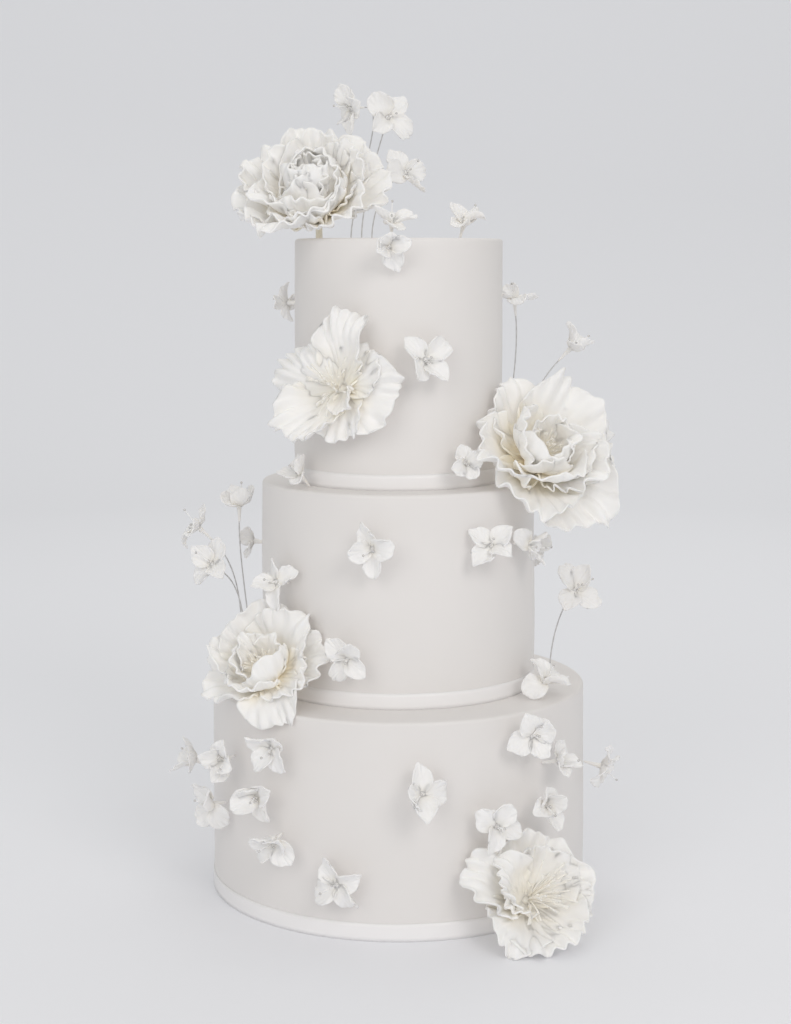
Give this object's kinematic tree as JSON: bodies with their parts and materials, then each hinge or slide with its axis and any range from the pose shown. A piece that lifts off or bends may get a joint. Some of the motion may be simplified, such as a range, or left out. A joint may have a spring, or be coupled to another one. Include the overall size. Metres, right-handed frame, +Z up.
{
  "type": "tiered wedding cake",
  "caption": "Tall round wedding cake in white fondant, satin bands at the tiers' feet, ivory sugar peonies and small white sugar blossoms on its walls, ledges and wires.",
  "frame": {"origin": "middle of the cake's underside, on the plane it rests on", "axes": "+Z up through the tiers, the flowered front looks towards -Y, +X to the right seen from the front"},
  "size_m": [0.3344, 0.3092, 0.5939],
  "materials": {
    "fondant": "smooth rolled white fondant, soft satin",
    "satin_band": "white satin ribbon, horizontal sheen",
    "blossom_petal": "thin veined white sugar paste, matt",
    "peony_petal": "ivory white sugar paste, ruffled, matt",
    "flower_wire": "thin wire in pale grey paper"
  },
  "bodies": {
    "root": {"tier_bottom": "fondant", "tier_middle": "fondant", "tier_top": "fondant", "band_bottom": "satin_band", "band_middle": "satin_band", "band_top": "satin_band", "blossom_01": "blossom_petal", "blossom_02": "blossom_petal", "blossom_03": "blossom_petal", "blossom_04": "blossom_petal", "blossom_05": "blossom_petal", "blossom_06": "blossom_petal", "blossom_07": "blossom_petal", "blossom_08": "blossom_petal", "blossom_09": "blossom_petal", "blossom_10": "blossom_petal", "blossom_11": "blossom_petal", "blossom_12": "blossom_petal", "blossom_13": "blossom_petal", "blossom_14": "blossom_petal", "blossom_15": "blossom_petal", "blossom_16": "blossom_petal", "blossom_17": "blossom_petal", "blossom_18": "blossom_petal", "blossom_19": "blossom_petal", "blossom_20": "blossom_petal", "blossom_21": "blossom_petal", "blossom_22": "blossom_petal", "blossom_23": "blossom_petal", "blossom_24": "blossom_petal", "blossom_25": "blossom_petal", "blossom_26": "blossom_petal", "blossom_27": "blossom_petal", "blossom_28": "blossom_petal", "blossom_29": "blossom_petal", "blossom_30": "blossom_petal", "blossom_31": "blossom_petal", "blossom_32": "blossom_petal", "blossom_33": "blossom_petal", "blossom_34": "blossom_petal", "blossom_35": "blossom_petal", "blossom_36": "blossom_petal", "blossom_37": "blossom_petal", "wire_01": "flower_wire", "wire_02": "flower_wire", "wire_03": "flower_wire", "wire_09": "flower_wire", "wire_10": "flower_wire", "wire_17": "flower_wire", "wire_18": "flower_wire", "wire_19": "flower_wire", "wire_20": "flower_wire", "peony_crown": "peony_petal", "peony_upper": "peony_petal", "peony_right": "peony_petal", "peony_left": "peony_petal", "peony_foot": "peony_petal"}
  },
  "joints": []
}
